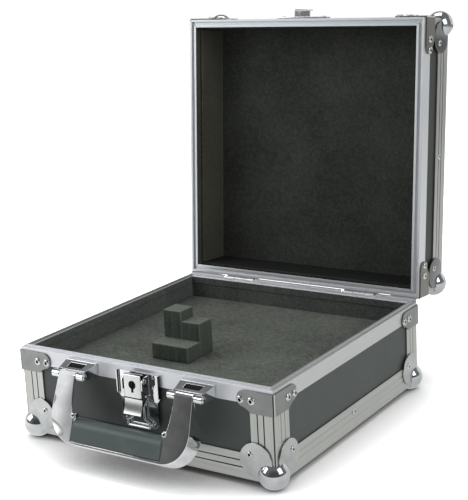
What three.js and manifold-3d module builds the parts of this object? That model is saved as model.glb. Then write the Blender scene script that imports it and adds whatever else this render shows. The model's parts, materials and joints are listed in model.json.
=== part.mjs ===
// Small flight case with its lid open: plywood trays, aluminium edging, ball corners, a key latch
// and a swinging handle. Millimetres, +Z up, -Y is the front. The origin is on the floor, midway
// between the soles of the four lower ball corners.
import * as THREE from 'three';
import { mergeVertices } from 'three/addons/utils/BufferGeometryUtils.js';
import Module from 'manifold-3d';

const wasm = await Module();
wasm.setup();

// Driving sizes of the case
const width = 350;
const depth = 350;
const baseHeight = 106;
const lidHeight = 73.5;
const openAngle = 95;
const seat = 0.3;
const partingGap = 0.4;
const overrun = 5;

// Plywood panels and their aluminium edging
const skin = 1.5;
const panel = 7;
const angleLeg = 30;
const grooveShares = [0.44, 0.7];
const grooveWidth = 1.4;
const grooveDepth = 0.7;
const flangeHeight = 19;
const innerFlange = 9;
const innerSkin = 1.2;
const tongueWidth = 2.2;
const tongueHeight = 2.2;
const grooveClear = 1;
const panelInset = skin + seat;
const rimWidth = panelInset + panel + seat + innerSkin;

// Foam: the bed in the base with four raised cubes, and the lining of the lid
const foamDrop = 28;
const foamLining = 4;
const foamLiningTop = 4;
const cube = 25.5;
const cubePlace = { x: 120, y: 97.5, sunk: 14 };
const cubeRise = { front: 20, right: 40, left: 51 };

// Ball corners
const ball = {
  radius: 17, inset: 8.5, petalRadius: 20, petalInset: 24.6, plate: 1.6, sole: 0.4, rounds: 20, rings: 10,
};

// Corner brackets
const bracket = { arm: 45, body: 28.5, height: 25, drop: 3.5, plate: 1.5, lobe: 8, lobeDrop: 11 };

// Hinges with stop ears
const hinge = {
  inset: 83, length: 49, leafHeight: 14, leaf: 1.5, leafDrop: 3.6, pinRadius: 1.5, knuckleRadius: 3.2,
  boreClear: 0.25, knuckleGap: 0.4, middle: 17, ear: 9, earWidth: 2, stopDeg: 22, rootDeg: 125,
  stopGapDeg: 2, pinHead: 0.8, rounds: 14,
};

// Key latch
const latch = {
  plate: 1.5, topWidth: 58, topDrop: 5.5, shoulder: 33, waist: 38, bottomWidth: 51, bottomDrop: 69,
  chamfer: 5, flange: 4.5, flangeHeight: 27,
  cheekInner: 12.9, cheek: 1.5, cheekRound: 4, cheekFoot: 10,
  pivotOut: 9.9, pivotDrop: 11.4, pivotRadius: 1.5, pivotClear: 0.25, pivotEnd: 10.8, rounds: 12,
};
const lever = {
  front: 13.2, width: 24.5, sheet: 1.2, top: 4.6, step: 32, tabEnd: 50.5, tabReach: 17, tabSwell: 8,
  wallTopOut: 7.4, wallBackOut: 2.9,
};
const bail = {
  wire: 1.2, pivotOut: 5.4, pivotDrop: 31, legHalf: 8.6, barHalf: 15.2, shoulderDrop: 27, barDrop: 37,
  bend: 1.5, bendSteps: 3, clear: 0.3, rounds: 8,
};
const lock = {
  radius: 5.4, length: 7, drop: 16.5, holeRadius: 4.8, slotWidth: 3, slotDrop: 9,
  keyWidth: 1.6, keyLength: 7, keyDepth: 3, rounds: 24,
};
const keeper = {
  plateWidth: 75, plate: 2, foot: 3, plateHeight: 14, hookWidth: 23, hookFoot: 5, hookReach: 12,
  hookHeight: 8, sheet: 1.8, chamfer: 4,
};

// Handle and its two mounts
const handle = {
  pivotOut: 24, pivotDrop: 13.5, tilt: 20, eyeRadius: 5, pinRadius: 2.2, pinClear: 0.3,
  armInner: 69, armOuter: 92.5, outer: 94.5, waist: 35, neck: 62.5, drop: 75, corner: 34,
  sheet: 2.2, wall: 2.4, strip: 3, depth: 19, flareDrop: 36, flareOut: 4,
  gripGap: 0.5, gripRadius: 10.2, gripHeight: 25, earRadius: 3.4, earLift: 0.5, ear: 2.4, rounds: 16,
};
const mount = {
  inner: 58.5, outer: 103.5, taperShare: 0.14, wallDrop: 4, frontDrop: 9, frontOut: 18.6, plate: 2,
  slotHalf: 12, slotNear: 6, slotFar: 14.5, gusset: 2.2, gussetFoot: 14, backPlate: 1.5,
  barrelRadius: 4.6, barrelGap: 0.8,
};

// Derived places
const rimTop = baseHeight;
const lidPlane = baseHeight + partingGap;
const lidTop = lidPlane + lidHeight;
const pinY = depth + seat + hinge.knuckleRadius;
const pinZ = rimTop + partingGap / 2;
const middleX = width / 2;

// Finishes
function finish(color, roughness, metalness) {
  return new THREE.MeshStandardMaterial({ color, roughness, metalness });
}
const finishes = {
  laminate: finish(0x2b302e, 0.55, 0),
  aluminium: finish(0xc3c7c6, 0.4, 1),
  steel: finish(0xb4b6b3, 0.35, 1),
  chrome: finish(0xe2e4e6, 0.12, 1),
  bedFoam: finish(0x5a5c56, 0.95, 0),
  liningFoam: finish(0x232624, 0.95, 0),
  grip: finish(0x1d2021, 0.45, 0),
};

// A closed solid from a geometry, and back
function solid(geometry) {
  const bare = geometry.clone();
  bare.deleteAttribute('normal');
  bare.deleteAttribute('uv');
  const merged = mergeVertices(bare);
  return new wasm.Manifold(new wasm.Mesh({
    numProp: 3,
    vertProperties: new Float32Array(merged.attributes.position.array),
    triVerts: new Uint32Array(merged.index.array),
  }));
}

function geometryOf(body) {
  const { vertProperties, triVerts } = body.getMesh();
  const geometry = new THREE.BufferGeometry();
  geometry.setAttribute('position', new THREE.BufferAttribute(vertProperties, 3));
  geometry.setIndex(new THREE.BufferAttribute(triVerts, 1));
  return geometry;
}

function meshOf(name, body, material) {
  const mesh = new THREE.Mesh(body.isBufferGeometry ? body : geometryOf(body), material);
  mesh.name = name;
  return mesh;
}

// A block between two opposite corners
function block(x0, y0, z0, x1, y1, z1) {
  const box = new THREE.BoxGeometry(x1 - x0, y1 - y0, z1 - z0);
  box.translate((x0 + x1) / 2, (y0 + y1) / 2, (z0 + z1) / 2);
  return solid(box);
}

// A flat outline of [y, z] points with round-cornered shapes allowed, drawn out along X
function shapeOf(points) {
  return new THREE.Shape(points.map(([a, b]) => new THREE.Vector2(a, b)));
}

function alongX(shape, x0, x1) {
  const bar = new THREE.ExtrudeGeometry(shape, { depth: x1 - x0, bevelEnabled: false, curveSegments: 10 });
  const place = new THREE.Matrix4().makeBasis(
    new THREE.Vector3(0, 1, 0), new THREE.Vector3(0, 0, 1), new THREE.Vector3(1, 0, 0));
  bar.applyMatrix4(place.setPosition(x0, 0, 0));
  return solid(bar);
}

// A flat outline of [x, z] points drawn out along Y
function alongY(shape, y0, y1) {
  const bar = new THREE.ExtrudeGeometry(shape, { depth: y1 - y0, bevelEnabled: false, curveSegments: 10 });
  bar.rotateX(Math.PI / 2);
  bar.translate(0, y1, 0);
  return solid(bar);
}

// A round rod along X, Y or Z between two places on its axis
function rod(radius, from, to, rounds) {
  const start = new THREE.Vector3(...from);
  const end = new THREE.Vector3(...to);
  const line = end.clone().sub(start);
  const cylinder = new THREE.CylinderGeometry(radius, radius, line.length(), rounds);
  const turn = new THREE.Quaternion().setFromUnitVectors(new THREE.Vector3(0, 1, 0), line.normalize());
  cylinder.applyQuaternion(turn);
  cylinder.translate(...start.add(end).multiplyScalar(0.5).toArray());
  return solid(cylinder);
}

const mirrorX = (body) => body.translate([-middleX, 0, 0]).mirror([1, 0, 0]).translate([middleX, 0, 0]);
const mirrorY = (body) => body.translate([0, -depth / 2, 0]).mirror([0, 1, 0]).translate([0, depth / 2, 0]);

// Lid pieces made like those of the base are turned over: height h comes to lie h under the lid's top
const overLid = (body) => body.mirror([0, 0, 1]).translate([0, 0, lidTop]);

// A bar of constant section whose two ends are mitred: each section point is set back by its own inset
function mitredBar(section, length, startInset, endInset) {
  const shape = new THREE.Shape(section.map(([a, b]) => new THREE.Vector2(a, b)));
  const bar = new THREE.ExtrudeGeometry(shape, { depth: length, bevelEnabled: false });
  const place = bar.attributes.position;
  for (let i = 0; i < place.count; i += 1) {
    const [a, b, along] = [place.getX(i), place.getY(i), place.getZ(i)];
    const set = along > length / 2 ? length - endInset(a, b) : startInset(a, b);
    place.setXYZ(i, set, a, b);
  }
  return solid(bar);
}

// Turns a bar made for the front edge to another edge: the front runs along X at y = 0
function toEdge(body, edge) {
  if (edge === 'back') return mirrorY(body);
  const swapped = body.mirror([1, -1, 0]);
  return edge === 'left' ? swapped : mirrorX(swapped);
}

const edges = [
  { name: 'front', run: width },
  { name: 'back', run: width },
  { name: 'left', run: depth },
  { name: 'right', run: depth },
];

const corners = [
  { name: 'front_left', place: (body) => body },
  { name: 'front_right', place: mirrorX },
  { name: 'back_left', place: mirrorY },
  { name: 'back_right', place: (body) => mirrorY(mirrorX(body)) },
];

// Edge angle: two legs with a pair of V grooves in each outer face
function angleSection() {
  const near = grooveShares.map((share) => share * angleLeg);
  const grooved = near.flatMap((at) => [
    [at - grooveWidth / 2, 0], [at, grooveDepth], [at + grooveWidth / 2, 0],
  ]);
  const legOut = [...grooved, [angleLeg, 0], [angleLeg, skin]];
  const legUp = [...legOut].reverse().map(([a, b]) => [b, a]);
  return [[0, 0], ...legOut, [skin, skin], ...legUp];
}

const mitre = (a, b) => Math.max(a, b) + seat / 2;

function edgeAngle(edge) {
  const bar = mitredBar(angleSection(), edge.run, mitre, mitre);
  return edge.name === 'front' ? bar : toEdge(bar, edge.name);
}

function cornerAngle(corner, height) {
  const reach = height - flangeHeight - seat;
  const bar = mitredBar(angleSection(), reach, mitre, () => 0);
  const upright = bar.rotate([0, -90, 0]).mirror([1, 0, 0]);
  return corner.place(upright);
}

// Rim extrusions: the base carries a tongue, the lid the groove that it enters
function baseRimSection() {
  const tongue = rimWidth / 2 - tongueWidth / 2;
  const cap = rimTop - skin;
  return [
    [0, rimTop - flangeHeight], [skin, rimTop - flangeHeight], [skin, cap], [rimWidth - innerSkin, cap],
    [rimWidth - innerSkin, rimTop - innerFlange], [rimWidth, rimTop - innerFlange], [rimWidth, rimTop],
    [tongue + tongueWidth, rimTop], [tongue + tongueWidth, rimTop + tongueHeight],
    [tongue, rimTop + tongueHeight], [tongue, rimTop], [0, rimTop],
  ];
}

function lidRimSection() {
  const groove = rimWidth / 2 - tongueWidth / 2 - grooveClear;
  const grooveEnd = rimWidth - groove;
  const floor = lidPlane + tongueHeight + grooveClear;
  const cap = floor + innerSkin;
  return [
    [0, lidPlane], [groove, lidPlane], [groove, floor], [grooveEnd, floor], [grooveEnd, lidPlane],
    [rimWidth, lidPlane], [rimWidth, lidPlane + innerFlange + innerSkin],
    [rimWidth - innerSkin, lidPlane + innerFlange + innerSkin], [rimWidth - innerSkin, cap],
    [skin, cap], [skin, lidPlane + flangeHeight], [0, lidPlane + flangeHeight],
  ];
}

function rimBar(section, edge) {
  const inset = (a) => a + seat / 2;
  const bar = mitredBar(section, edge.run, inset, inset);
  return edge.name === 'front' ? bar : toEdge(bar, edge.name);
}

// A plywood tray, open at the top, whose walls end under the rim
function tray(wallTop) {
  const outer = block(panelInset, panelInset, panelInset, width - panelInset, depth - panelInset, wallTop);
  const wall = panelInset + panel;
  return outer.subtract(block(wall, wall, wall, width - wall, depth - wall, wallTop + overrun));
}

// Ball corner: a ball and three round petals, cut away where the case stands inside them
function ballCorner(sole) {
  const { radius, inset, petalRadius, petalInset, plate, rounds, rings } = ball;
  const sphere = new THREE.SphereGeometry(radius, rounds, rings);
  sphere.rotateX(Math.PI / 2);
  sphere.translate(inset, inset, inset);
  const low = -plate - seat;
  const disc = rod(petalRadius, [petalInset, petalInset, low], [petalInset, petalInset, seat], rounds);
  const upright = disc.rotate([90, 0, 0]).mirror([0, 1, 0]);
  const sideways = disc.rotate([0, -90, 0]).mirror([1, 0, 0]);
  let body = solid(sphere).add(disc).add(upright).add(sideways);
  const inside = petalInset + petalRadius + overrun;
  body = body.subtract(block(-seat, -seat, -seat, inside, inside, inside));
  if (!sole) return body;
  const foot = inset - radius;
  const wide = radius + overrun;
  return body.subtract(block(-wide, -wide, foot - overrun, wide, wide, foot + ball.sole));
}

// Rim bracket: two arms folded round the corner, each with a body and a round lobe for two rivets
function armShape(top) {
  const { arm, body, height, lobe, lobeDrop } = bracket;
  const lobeX = arm - lobe;
  const lobeZ = top - lobeDrop;
  const shape = new THREE.Shape();
  shape.moveTo(-bracket.plate - seat, top - height);
  shape.lineTo(body, top - height);
  shape.lineTo(body + (lobeX - body) / 3, top - height + (height - lobeDrop - lobe) / 2);
  shape.lineTo(lobeX, lobeZ - lobe);
  shape.absarc(lobeX, lobeZ, lobe, -Math.PI / 2, 0, false);
  shape.quadraticCurveTo(arm, top, lobeX - lobe / 2, top);
  shape.lineTo(-bracket.plate - seat, top);
  return shape;
}

function cornerBracket(top) {
  const armFront = alongY(armShape(top), -bracket.plate - seat, -seat);
  return armFront.add(armFront.mirror([1, -1, 0]));
}

// Hinge leaf: a plate on the rim flange, its knuckles and a stop ear at each end. The ears are
// sectors round the pin, in degrees from straight back, and meet when the lid stands open.
function sector(inner, outer, fromDeg, toDeg) {
  const shape = new THREE.Shape();
  const rad = THREE.MathUtils.degToRad;
  shape.absarc(pinY, pinZ, outer, rad(fromDeg), rad(toDeg), false);
  shape.absarc(pinY, pinZ, inner, rad(toDeg), rad(fromDeg), true);
  return shape;
}

function hingeLeaf(centre, isLid) {
  const { length, leaf, leafHeight, leafDrop, knuckleRadius, pinRadius, boreClear, knuckleGap } = hinge;
  const { middle, ear, earWidth, stopDeg, rootDeg, stopGapDeg, rounds } = hinge;
  const [x0, x1] = [centre - length / 2, centre + length / 2];
  const y0 = depth + seat;
  const up = isLid ? 1 : -1;
  const leafBlock = (a, b, near, far) => block(
    a, y0, pinZ + Math.min(up * near, up * far), b, y0 + leaf, pinZ + Math.max(up * near, up * far));
  let body = leafBlock(x0, x1, leafDrop, leafDrop + leafHeight);
  const outerEnd = earWidth + knuckleGap;
  const spans = isLid
    ? [[centre - middle / 2, centre + middle / 2]]
    : [[x0 + outerEnd, centre - middle / 2 - knuckleGap], [centre + middle / 2 + knuckleGap, x1 - outerEnd]];
  for (const [a, b] of spans) {
    body = body.add(rod(knuckleRadius, [a, pinY, pinZ], [b, pinY, pinZ], rounds));
    body = body.add(leafBlock(a, b, 0, leafDrop + leaf));
  }
  const stopShape = isLid
    ? sector(pinRadius + boreClear, ear, openAngle - stopDeg + stopGapDeg, rootDeg)
    : sector(pinRadius + boreClear, ear, -rootDeg, -stopDeg);
  const wallSide = block(x0 - overrun, y0 - ear, pinZ - ear, x1 + overrun, y0, pinZ + ear);
  for (const [a, b] of [[x0, x0 + earWidth], [x1 - earWidth, x1]]) {
    body = body.add(alongX(stopShape, a, b).subtract(wallSide));
  }
  const bore = rod(pinRadius + boreClear, [x0 - overrun, pinY, pinZ], [x1 + overrun, pinY, pinZ], rounds);
  return body.subtract(bore);
}

function hingePin(centre) {
  const reach = hinge.length / 2 + hinge.pinHead;
  return rod(hinge.pinRadius, [centre - reach, pinY, pinZ], [centre + reach, pinY, pinZ], hinge.rounds);
}

// Latch back plate with edge flanges, two cheeks and the pivot stubs of the lever
const pivotY = -latch.pivotOut;
const pivotZ = rimTop - latch.pivotDrop;

function latchPlate() {
  const { plate, topWidth, topDrop, shoulder, waist, bottomWidth, bottomDrop, chamfer } = latch;
  const [wide, slim] = [topWidth / 2, bottomWidth / 2];
  const right = [
    [wide, rimTop - topDrop], [wide, rimTop - shoulder], [slim, rimTop - waist],
    [slim, rimTop - bottomDrop + chamfer], [slim - chamfer, rimTop - bottomDrop],
  ];
  const left = [...right].reverse().map(([a, b]) => [-a, b]);
  const outline = [...right, ...left].map(([a, b]) => [middleX + a, b]);
  let body = alongY(shapeOf(outline), -seat - plate, -seat);
  const flangeZ = rimTop - topDrop - latch.flangeHeight;
  const { cheekInner, cheek, cheekRound, cheekFoot, pivotEnd } = latch;
  const cheekShape = shapeOf([
    [-seat - plate / 2, pivotZ + cheekRound], [pivotY, pivotZ + cheekRound],
    [pivotY - cheekRound, pivotZ], [pivotY - cheekRound, pivotZ - cheekFoot],
    [-seat - plate / 2, pivotZ - cheekFoot * 2],
  ]);
  for (const side of [-1, 1]) {
    const at = (offset) => middleX + side * offset;
    const [a, b] = [at(wide - plate), at(wide)].sort((p, q) => p - q);
    body = body.add(block(a, -seat - latch.flange, flangeZ, b, -seat, rimTop - topDrop));
    const [c, d] = [at(cheekInner), at(cheekInner + cheek)].sort((p, q) => p - q);
    body = body.add(alongX(cheekShape, c, d));
    body = body.add(rod(latch.pivotRadius, [at(pivotEnd), pivotY, pivotZ],
      [at(cheekInner + cheek), pivotY, pivotZ], latch.rounds));
  }
  return body;
}

// Latch lever: a channel with the key box at the top and a thumb tab that curves out at the foot
const bailY = -bail.pivotOut;
const bailZ = rimTop - bail.pivotDrop;

function latchLever() {
  const { front, width: leverWidth, sheet, top, step, tabEnd, tabReach, tabSwell } = lever;
  const at = (drop) => rimTop - drop;
  const [x0, x1] = [middleX - leverWidth / 2, middleX + leverWidth / 2];
  const face = [
    [-front, at(top)], [-front, at(step)], [-front + sheet, at(step) - sheet],
    [-front, at(tabEnd) + tabSwell], [-tabReach, at(tabEnd)],
  ];
  const inside = [...face].reverse().map(([a, b]) => [a + sheet, b]);
  let body = alongX(shapeOf([...face, ...inside]), x0, x1);
  const wall = shapeOf([
    [-front + sheet / 2, at(top)], [-lever.wallTopOut, at(top)], [-lever.wallBackOut, at(top) - front],
    [-lever.wallBackOut, bailZ - bail.wire * 2], [-front, at(tabEnd) + tabSwell],
    [-front + sheet * 1.5, at(step) - sheet], [-front + sheet / 2, at(step)],
  ]);
  body = body.add(alongX(wall, x0, x0 + sheet)).add(alongX(wall, x1 - sheet, x1));
  body = body.add(block(x0, -front, at(top) - sheet, x1, -lever.wallTopOut, at(top)));
  const across = [x0 - overrun, x1 + overrun];
  const hole = (radius, y, z) => rod(radius, [across[0], y, z], [across[1], y, z], latch.rounds);
  body = body.subtract(hole(latch.pivotRadius + latch.pivotClear, pivotY, pivotZ));
  body = body.subtract(hole(bail.wire + bail.clear, bailY, bailZ));
  const keyZ = rimTop - lock.drop;
  const keyhole = rod(lock.holeRadius, [middleX, -front - overrun, keyZ], [middleX, -front + sheet * 2, keyZ],
    lock.rounds);
  const slot = block(middleX - lock.slotWidth / 2, -front - overrun, keyZ - lock.slotDrop,
    middleX + lock.slotWidth / 2, -front + sheet * 2, keyZ);
  return body.subtract(keyhole).subtract(slot);
}

function lockCylinder() {
  const keyZ = rimTop - lock.drop;
  const face = -lever.front + lever.sheet + seat;
  const body = rod(lock.radius, [middleX, face, keyZ], [middleX, face + lock.length, keyZ], lock.rounds);
  return body.subtract(block(middleX - lock.keyWidth / 2, face - overrun, keyZ - lock.keyLength / 2,
    middleX + lock.keyWidth / 2, face + lock.keyDepth, keyZ + lock.keyLength / 2));
}

// Latch bail: a wire in one plane with rounded bends, its two ends turned outwards. Each ring lies
// on the line that halves the bend there.
function bailPath() {
  const { legHalf, barHalf, shoulderDrop, barDrop, bend } = bail;
  const end = lever.width / 2;
  const half = [
    [end, 0], [legHalf, 0], [legHalf, -shoulderDrop], [barHalf, -shoulderDrop - (barHalf - legHalf) / 2],
    [barHalf, -barDrop],
  ];
  const left = [...half].reverse().map(([a, b]) => [-a, b]);
  const turns = [...half, ...left].map(([a, b]) => new THREE.Vector2(a, b));
  const points = [turns[0]];
  for (let i = 1; i < turns.length - 1; i += 1) {
    const near = turns[i - 1].clone().sub(turns[i]).setLength(bend).add(turns[i]);
    const far = turns[i + 1].clone().sub(turns[i]).setLength(bend).add(turns[i]);
    points.push(...new THREE.QuadraticBezierCurve(near, turns[i], far).getPoints(bail.bendSteps));
  }
  return [...points, turns[turns.length - 1]];
}

function latchBail() {
  const points = bailPath();
  const { wire, rounds } = bail;
  const vertices = [];
  points.forEach((point, i) => {
    const into = point.clone().sub(points[Math.max(i - 1, 0)]).normalize();
    const out = points[Math.min(i + 1, points.length - 1)].clone().sub(point).normalize();
    const along = into.clone().add(out).normalize();
    const stretch = 1 / Math.max(along.dot(i > 0 ? into : out), 0.5);
    for (let k = 0; k < rounds; k += 1) {
      const turn = (2 * Math.PI * k) / rounds;
      const side = Math.cos(turn) * wire * stretch;
      vertices.push(
        middleX + point.x - along.y * side, bailY + Math.sin(turn) * wire, bailZ + point.y + along.x * side);
    }
  });
  const faces = [];
  for (let k = 1; k < rounds - 1; k += 1) {
    const last = (points.length - 1) * rounds;
    faces.push(0, k, k + 1, last, last + k + 1, last + k);
  }
  for (let i = 0; i < points.length - 1; i += 1) {
    for (let k = 0; k < rounds; k += 1) {
      const [a, b] = [i * rounds + k, i * rounds + ((k + 1) % rounds)];
      faces.push(a, a + rounds, b, b, a + rounds, b + rounds);
    }
  }
  const tube = new THREE.BufferGeometry();
  tube.setAttribute('position', new THREE.Float32BufferAttribute(vertices, 3));
  tube.setIndex(faces);
  return tube;
}

// Keeper on the lid: a plate on the rim flange and an upturned hook for the latch bail
function latchKeeper() {
  const { plateWidth, plate, foot, plateHeight, hookWidth, hookFoot, hookReach, hookHeight } = keeper;
  const { sheet, chamfer } = keeper;
  const [low, high, half] = [lidPlane + foot, lidPlane + foot + plateHeight, plateWidth / 2];
  const outline = [
    [-half, low], [half, low], [half, high - chamfer], [half - chamfer, high],
    [-half + chamfer, high], [-half, high - chamfer],
  ].map(([a, b]) => [middleX + a, b]);
  const back = alongY(shapeOf(outline), -seat - plate, -seat);
  const web = lidPlane + hookFoot;
  const hook = shapeOf([
    [-seat - plate / 2, web], [-hookReach + sheet, web], [-hookReach, web + sheet],
    [-hookReach, web + hookHeight], [-hookReach + sheet, web + hookHeight],
    [-hookReach + sheet, web + sheet * 1.5], [-seat - plate / 2, web + sheet],
  ]);
  return back.add(alongX(hook, middleX - hookWidth / 2, middleX + hookWidth / 2));
}

// Handle mount: a sloping slotted shelf on two gussets, with a barrel and pin either side of the arm
const swingY = -handle.pivotOut;
const swingZ = rimTop - handle.pivotDrop;

function handleMount() {
  const { inner, outer, taperShare, wallDrop, frontDrop, frontOut, plate, gusset, gussetFoot } = mount;
  const { slotHalf, slotNear, slotFar, backPlate, barrelRadius, barrelGap } = mount;
  const [x0, x1] = [middleX - outer, middleX - inner];
  const mid = (x0 + x1) / 2;
  const [wallZ, frontZ] = [rimTop - wallDrop, rimTop - frontDrop];
  const shelf = shapeOf([
    [-seat, wallZ], [-frontOut, frontZ], [-frontOut, frontZ - plate], [-seat, wallZ - plate],
  ]);
  let body = alongX(shelf, x0, x1);
  body = body.subtract(block(mid - slotHalf, -slotFar, frontZ - overrun, mid + slotHalf, -slotNear, rimTop));
  const foot = wallZ - plate - gussetFoot;
  const gussetShape = shapeOf([
    [-seat, wallZ], [-frontOut, frontZ], [swingY, swingZ + barrelRadius], [swingY - barrelRadius, swingZ],
    [swingY, swingZ - barrelRadius], [-seat - backPlate, foot], [-seat, foot],
  ]);
  for (const [a, b] of [[x0, x0 + gusset], [x1 - gusset, x1]]) body = body.add(alongX(gussetShape, a, b));
  body = body.add(block(x0, -seat - backPlate, foot, x1, -seat, wallZ));
  body = body.warp((point) => {
    const out = Math.max(-point[1], 0) / frontOut;
    point[0] = mid + (point[0] - mid) * (1 - taperShare * out);
  });
  const armEdges = [middleX - handle.armOuter - barrelGap, middleX - handle.armInner + barrelGap];
  const at = (x) => [x, swingY, swingZ];
  body = body.add(rod(barrelRadius, at(x0), at(armEdges[0]), handle.rounds));
  body = body.add(rod(barrelRadius, at(armEdges[1]), at(x1), handle.rounds));
  return body.add(rod(handle.pinRadius, at(x0), at(x1), handle.rounds));
}

// Handle frame, pressed from sheet and hanging from its axis at the origin of its own group. Its
// flat face runs from the eyes to the foot, and a wall runs back round the outside and under the
// grip. From the waist down the wall's rear stands wider than its front by flareOut.
const handleFace = -handle.eyeRadius;
const handleRear = handleFace + handle.depth;

function flareAt(y) {
  return handle.flareOut * (y - handleFace) / handle.depth;
}

function footAt(y) {
  return (handle.strip - handle.drop) * (1 + flareAt(y) / handle.drop);
}

function handleOutline(inset) {
  const { armOuter, outer, drop, corner, waist } = handle;
  const [top, side, foot] = [armOuter - inset, outer - inset, drop - (inset > 0 ? handle.strip : 0)];
  const bend = corner - inset;
  const shape = new THREE.Shape();
  shape.moveTo(top, 0);
  shape.lineTo(side, -waist);
  shape.lineTo(side, -foot + bend);
  shape.absarc(side - bend, -foot + bend, bend, 0, -Math.PI / 2, true);
  shape.absarc(-side + bend, -foot + bend, bend, -Math.PI / 2, -Math.PI, true);
  shape.lineTo(-side, -waist);
  shape.lineTo(-top, 0);
  return shape;
}

function handleWindow() {
  const { armInner, neck, waist, drop, strip, sheet, gripHeight, eyeRadius } = handle;
  const [foot, shoulder] = [footAt(handleFace + sheet), -drop + strip + gripHeight];
  const shape = new THREE.Shape();
  shape.moveTo(-armInner, eyeRadius);
  shape.lineTo(-armInner, 0);
  shape.quadraticCurveTo(-armInner, -waist, -neck, shoulder);
  shape.lineTo(-neck, foot);
  shape.lineTo(neck, foot);
  shape.lineTo(neck, shoulder);
  shape.quadraticCurveTo(armInner, -waist, armInner, 0);
  shape.lineTo(armInner, eyeRadius);
  return shape;
}

function flared(inset, front, rear) {
  return alongY(handleOutline(inset), front, rear).warp((point) => {
    const grown = flareAt(point[1]) * Math.min(-point[2] / handle.waist, 1);
    point[0] *= 1 + grown / handle.outer;
    point[2] *= 1 + grown / handle.drop;
  });
}

function handleFrame() {
  const { armInner, armOuter, outer, neck, drop, sheet, wall, strip, flareDrop, flareOut } = handle;
  const { gripHeight, eyeRadius, pinRadius, pinClear, earRadius, earLift, ear, rounds } = handle;
  const reach = outer + flareOut;
  const low = -drop - flareOut;
  const inside = handleFace + sheet;
  const front = alongX(shapeOf([
    [handleFace, 0], [handleFace, low], [inside, low], [inside, 0],
  ]), -reach, reach);
  const flank = alongX(shapeOf([
    [handleFace, 0], [handleFace, low], [handleRear, low], [handleRear, -flareDrop], [inside, 0],
  ]), -reach, reach);
  const full = flared(0, handleFace, handleRear);
  const window = alongY(handleWindow(), handleFace - overrun, inside + overrun);
  const hollow = flared(wall, handleFace - overrun, handleRear + overrun);
  let body = full.intersect(front).subtract(window).add(full.intersect(flank).subtract(hollow));
  const earZ = -drop + strip + gripHeight + earRadius + earLift;
  const earY = inside + earRadius / 2;
  for (const side of [-1, 1]) {
    const lug = rod(earRadius, [side * (neck - ear), earY, earZ], [side * (neck + ear), earY, earZ], rounds);
    body = body.add(rod(eyeRadius, [side * armInner, 0, 0], [side * armOuter, 0, 0], rounds)).add(lug);
  }
  return body.subtract(rod(pinRadius + pinClear, [-outer, 0, 0], [outer, 0, 0], rounds));
}

// Moulded grip: a round-topped roll that sits on the foot of the frame between the arms
function handleGrip() {
  const { neck, gripGap, gripRadius, gripHeight, drop, strip } = handle;
  const middle = (handleFace + handleRear) / 2;
  const [near, far] = [handleFace + seat, handleRear - seat];
  const [nearFoot, farFoot] = [footAt(near) + seat, footAt(far) + seat];
  const crown = -drop + strip + seat + gripHeight - gripRadius;
  const shape = new THREE.Shape();
  shape.moveTo(near, nearFoot);
  shape.lineTo(far, farFoot);
  shape.quadraticCurveTo(middle + gripRadius, farFoot, middle + gripRadius, crown);
  shape.absarc(middle, crown, gripRadius, 0, Math.PI, false);
  shape.quadraticCurveTo(middle - gripRadius, nearFoot, near, nearFoot);
  return alongX(shape, -neck + gripGap, neck - gripGap);
}

// Foam bed with square edges and the pocket of the four columns that are pushed up out of it,
// the columns as one stepped piece, and the lid lining
function foamBed() {
  const wall = panelInset + panel + seat;
  const top = rimTop - foamDrop;
  const { x, y, sunk } = cubePlace;
  const [right, back] = [x + cube * 2 + seat, y + cube * 2 + seat];
  const pocket = block(x - seat, y - seat, top - sunk, right, back, top + overrun);
  return block(wall, wall, wall, width - wall, depth - wall, top).subtract(pocket);
}

function foamCubes() {
  const top = rimTop - foamDrop;
  const { x, y, sunk } = cubePlace;
  const floor = top - sunk + seat;
  const rise = (height) => top + height;
  return block(x, y, floor, x + cube * 2, y + cube * 2, rise(cubeRise.front))
    .add(block(x + cube, y + cube, floor, x + cube * 2, y + cube * 2, rise(cubeRise.right)))
    .add(block(x, y + cube, floor, x + cube, y + cube * 2, rise(cubeRise.left)));
}

function lidLining() {
  const wall = panelInset + panel + seat;
  const low = lidPlane + innerFlange + innerSkin + seat;
  const high = lidTop - wall;
  const clear = wall + foamLining;
  const hollow = block(clear, clear, low - overrun, width - clear, depth - clear, high - foamLiningTop);
  return block(wall, wall, low, width - wall, depth - wall, high).subtract(hollow);
}

// Assembly: the base stands still, the other groups carry what moves with them
const model = new THREE.Group();
const base = new THREE.Group();
base.add(
  meshOf('base_box', tray(rimTop - skin - seat), finishes.laminate),
  meshOf('base_foam', foamBed(), finishes.bedFoam),
  meshOf('foam_cubes', foamCubes(), finishes.bedFoam),
  meshOf('latch_plate', latchPlate(), finishes.chrome),
  meshOf('handle_mount_left', handleMount(), finishes.chrome),
  meshOf('handle_mount_right', mirrorX(handleMount()), finishes.chrome),
);

const lid = new THREE.Group();
const lidFloor = lidPlane + tongueHeight + grooveClear + innerSkin + seat;
lid.add(
  meshOf('lid_box', overLid(tray(lidTop - lidFloor)), finishes.laminate),
  meshOf('lid_foam', lidLining(), finishes.liningFoam),
  meshOf('latch_keeper', latchKeeper(), finishes.chrome),
);

for (const edge of edges) {
  base.add(
    meshOf(`base_rim_${edge.name}`, rimBar(baseRimSection(), edge), finishes.aluminium),
    meshOf(`base_edge_${edge.name}`, edgeAngle(edge), finishes.aluminium),
  );
  lid.add(
    meshOf(`lid_rim_${edge.name}`, rimBar(lidRimSection(), edge), finishes.aluminium),
    meshOf(`lid_edge_${edge.name}`, overLid(edgeAngle(edge)), finishes.aluminium),
  );
}

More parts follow.
